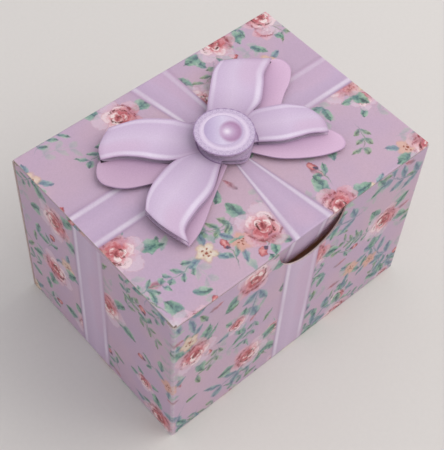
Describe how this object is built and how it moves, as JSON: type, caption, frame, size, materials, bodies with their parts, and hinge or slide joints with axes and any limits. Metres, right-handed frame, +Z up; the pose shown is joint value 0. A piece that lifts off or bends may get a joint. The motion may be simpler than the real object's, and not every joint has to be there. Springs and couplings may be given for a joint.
{
  "type": "decoupage gift box",
  "caption": "Small folded-card gift box with an interlocked base, a hinged tuck lid with a thumb notch, and a layered paper bow with a lace-edged button raised on foam pads.",
  "frame": {"origin": "on the surface the box stands on, under the middle of the box", "axes": "+X along the long walls, -Y out of the wall with the thumb notch, +Z up through the lid"},
  "size_m": [0.08, 0.0584, 0.0579],
  "materials": {
    "printed_card": "matt printed card, pink-lilac floral",
    "plain_card": "uncoated white card",
    "ribbon_card": "matt printed card, lilac satin ribbon",
    "lace_card": "matt printed card, pale lace and pearl",
    "foam": "white foam pad"
  },
  "bodies": {
    "box": {"front_wall": "printed_card", "back_wall": "printed_card", "left_wall": "printed_card", "right_wall": "printed_card", "glue_tab": "plain_card", "base_inner_panel": "plain_card", "base_left_flap": "plain_card", "base_right_flap": "plain_card", "base_outer_panel": "plain_card"},
    "lid": {"lid_panel": "printed_card", "bow_back_layer": "ribbon_card", "bow_front_layer": "ribbon_card", "lace_button": "lace_card", "lower_pad_upper_left": "foam", "lower_pad_lower_left": "foam", "lower_pad_lower_right": "foam", "lower_pad_upper_right": "foam", "lower_pad_centre": "foam", "upper_pad_upper_left": "foam", "upper_pad_lower_left": "foam", "upper_pad_lower_right": "foam", "upper_pad_upper_right": "foam", "upper_pad_centre": "foam", "button_pad": "foam"},
    "tuck_flap": {"tuck_flap": "printed_card"},
    "left_dust_flap": {"left_dust_flap": "printed_card"},
    "right_dust_flap": {"right_dust_flap": "printed_card"}
  },
  "joints": [
    {"name": "lid_hinge", "type": "hinge", "parent": "box", "child": "lid", "pos_m": [0, 0.02905, 0.0528], "axis": [-1, 0, 0], "range_deg": [0, 180]},
    {"name": "tuck_crease", "type": "hinge", "parent": "lid", "child": "tuck_flap", "pos_m": [0, -0.02845, 0.0523], "axis": [-1, 0, 0], "range_deg": [0, 36]},
    {"name": "left_dust_crease", "type": "hinge", "parent": "box", "child": "left_dust_flap", "pos_m": [-0.0398, 0, 0.0523], "axis": [0, -1, 0], "range_deg": [0, 90]},
    {"name": "right_dust_crease", "type": "hinge", "parent": "box", "child": "right_dust_flap", "pos_m": [0.0398, 0, 0.0523], "axis": [0, 1, 0], "range_deg": [0, 90]}
  ],
  "couplings": [
    {"joint": "tuck_crease", "follows": "lid_hinge", "ratio": 0.2},
    {"joint": "left_dust_crease", "follows": "lid_hinge", "ratio": 0.5},
    {"joint": "right_dust_crease", "follows": "lid_hinge", "ratio": 0.5}
  ]
}
